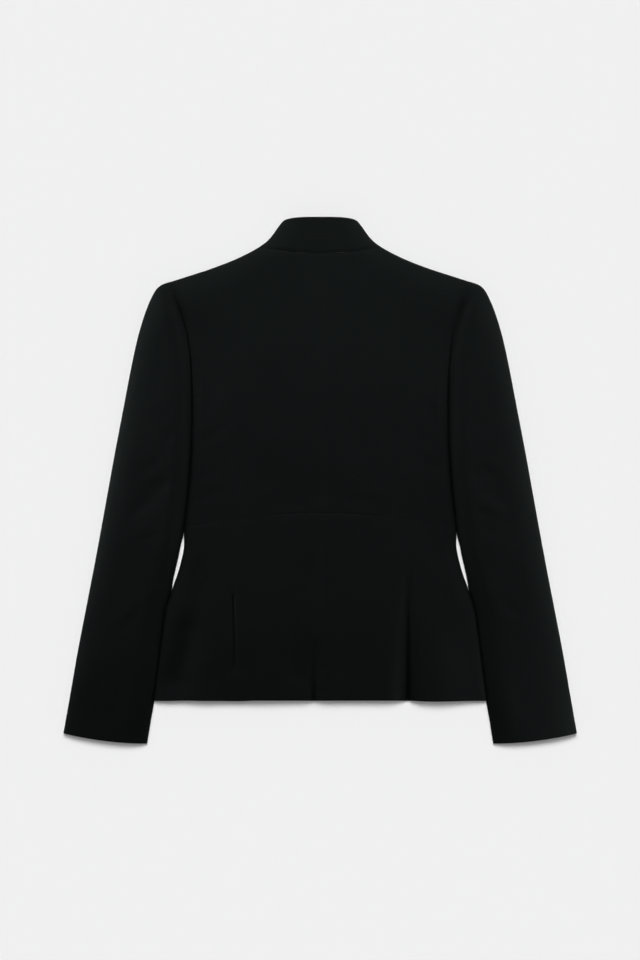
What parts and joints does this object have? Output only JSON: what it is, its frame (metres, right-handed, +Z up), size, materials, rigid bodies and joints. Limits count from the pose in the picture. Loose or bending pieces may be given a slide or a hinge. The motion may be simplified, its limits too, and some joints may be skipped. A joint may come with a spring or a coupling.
{
  "type": "peplum jacket",
  "caption": "Black tailored jacket with a stand collar, set-in sleeves and a flared peplum below a waist seam, laid flat on its front.",
  "frame": {"origin": "middle of the jacket's outline, on the surface that its fronts lie on", "axes": "+X towards the wearer's right sleeve, +Y up the back to the collar, +Z up out of the back"},
  "size_m": [0.6672, 0.6841, 0.0266],
  "materials": {
    "suiting": "matte",
    "collar_suiting": "matte"
  },
  "bodies": {
    "root": {"back_left": "suiting", "back_right": "suiting", "side_back_left": "suiting", "side_back_right": "suiting", "peplum_back_left": "suiting", "peplum_back_right": "suiting", "peplum_side_left": "suiting", "peplum_side_right": "suiting", "front_left": "suiting", "front_right": "suiting", "peplum_front_left": "suiting", "peplum_front_right": "suiting", "top_sleeve_left": "suiting", "top_sleeve_right": "suiting", "under_sleeve_left": "suiting", "under_sleeve_right": "suiting", "collar": "collar_suiting"}
  },
  "joints": []
}
